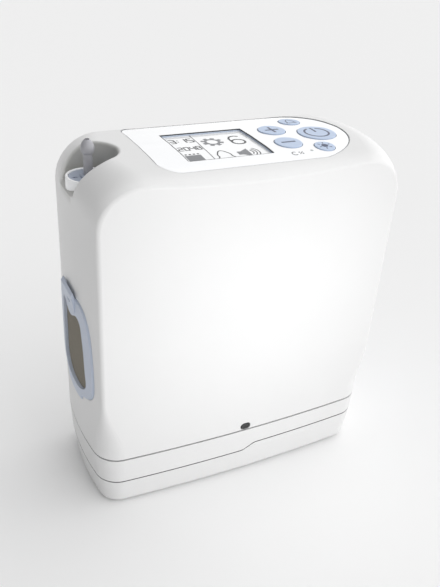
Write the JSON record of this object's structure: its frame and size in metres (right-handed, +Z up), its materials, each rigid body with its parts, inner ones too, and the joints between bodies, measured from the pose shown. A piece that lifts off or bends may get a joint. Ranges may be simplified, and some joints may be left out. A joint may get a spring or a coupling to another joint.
{
  "type": "portable oxygen concentrator",
  "caption": "Upright white portable oxygen concentrator with a crowned top panel, small display, round keys, corner cannula nozzle, side intake filter and slide-off battery base.",
  "frame": {"origin": "centre of the footprint, on the floor under the rubber feet", "axes": "+Z up; +X along the long side toward the exhaust end; the front face with the release latch faces -Y"},
  "size_m": [0.1851, 0.083, 0.2114],
  "materials": {
    "housing_white": "Satin-white moulded shell",
    "panel_white": "High-gloss printed overlay",
    "button_blue": "Pale blue key caps",
    "lens_clear": "Clear window over the display",
    "lcd_grey": "Liquid-crystal cell",
    "frame_blue": "Blue-grey filter frame and nozzle seat",
    "mesh_brown": "Woven particle filter",
    "nozzle_grey": "Grey moulded barb",
    "latch_black": "Black latch button",
    "dark_plastic": "Dark structural plastic",
    "board_green": "Circuit board laminate",
    "aluminium": "Machined aluminium",
    "steel": "Steel fasteners and springs",
    "rubber_grey": "Soft rubber",
    "hose_clear": "Silicone hose",
    "cell_wrap": "Shrink-wrapped cells",
    "contact_gold": "Gilt contacts",
    "light_pipe": "Frosted light pipe"
  },
  "bodies": {
    "main_unit": {"main_housing": "housing_white", "control_panel": "panel_white", "display_window": "lens_clear", "display_module": "lcd_grey", "display_board": "board_green", "keypad_mat": "rubber_grey", "status_light": "light_pipe", "nozzle_ring": "panel_white", "nozzle_seat": "frame_blue", "cannula_nozzle": "nozzle_grey", "nozzle_seal": "rubber_grey", "outlet_filter": "dark_plastic", "intake_grille": "dark_plastic", "exhaust_grille": "frame_blue", "dc_socket": "dark_plastic", "chassis_plate": "dark_plastic", "chassis_screws": "steel", "terminal_block": "contact_gold", "latch_spring": "steel", "main_board": "board_green", "fan_frame": "dark_plastic", "compressor_crankcase": "aluminium", "compressor_cylinders": "aluminium", "cylinder_heads": "aluminium", "compressor_motor": "dark_plastic", "sieve_columns": "aluminium", "column_caps": "dark_plastic", "accumulator": "dark_plastic", "valve_manifold": "aluminium", "solenoid_valves": "steel", "hoses": "hose_clear"},
    "battery_pack": {"battery_upper_case": "housing_white", "battery_lower_case": "housing_white", "rubber_feet": "rubber_grey", "battery_cells": "cell_wrap", "cell_holders": "dark_plastic", "battery_board": "board_green", "battery_contacts": "contact_gold"},
    "intake_filter": {"filter_frame": "frame_blue", "particle_filter": "mesh_brown"},
    "latch": {"latch_button": "latch_black"},
    "fan_wheel": {"fan_rotor": "dark_plastic"},
    "motor_wheel": {"cooling_wheel": "dark_plastic"},
    "plus_button_cap": {"plus_button": "button_blue"},
    "minus_button_cap": {"minus_button": "button_blue"},
    "alert_button_cap": {"alert_button": "button_blue"},
    "power_button_cap": {"power_button": "button_blue"},
    "light_button_cap": {"light_button": "button_blue"}
  },
  "joints": [
    {"name": "battery_slide", "type": "slide", "parent": "main_unit", "child": "battery_pack", "axis": [-1, 0, 0], "range_m": [0, 0.16]},
    {"name": "filter_pull", "type": "slide", "parent": "main_unit", "child": "intake_filter", "axis": [-1, 0, 0], "range_m": [0, 0.03]},
    {"name": "latch_press", "type": "slide", "parent": "main_unit", "child": "latch", "axis": [0, 1, 0], "range_m": [0, 0.0016], "stiffness_N_per_m": 400},
    {"name": "fan_spin", "type": "hinge", "parent": "main_unit", "child": "fan_wheel", "pos_m": [-0.073, 0, 0.092], "axis": [1, 0, 0], "continuous": true},
    {"name": "motor_spin", "type": "hinge", "parent": "main_unit", "child": "motor_wheel", "pos_m": [0.03, 0, 0.084], "axis": [1, 0, 0], "continuous": true},
    {"name": "plus_press", "type": "slide", "parent": "main_unit", "child": "plus_button_cap", "axis": [0, 0, -1], "range_m": [0, 0.0008], "stiffness_N_per_m": 500},
    {"name": "minus_press", "type": "slide", "parent": "main_unit", "child": "minus_button_cap", "axis": [0, 0, -1], "range_m": [0, 0.0008], "stiffness_N_per_m": 500},
    {"name": "alert_press", "type": "slide", "parent": "main_unit", "child": "alert_button_cap", "axis": [0, 0, -1], "range_m": [0, 0.0008], "stiffness_N_per_m": 500},
    {"name": "power_press", "type": "slide", "parent": "main_unit", "child": "power_button_cap", "axis": [0, 0, -1], "range_m": [0, 0.0008], "stiffness_N_per_m": 500},
    {"name": "light_press", "type": "slide", "parent": "main_unit", "child": "light_button_cap", "axis": [0, 0, -1], "range_m": [0, 0.0008], "stiffness_N_per_m": 500}
  ]
}
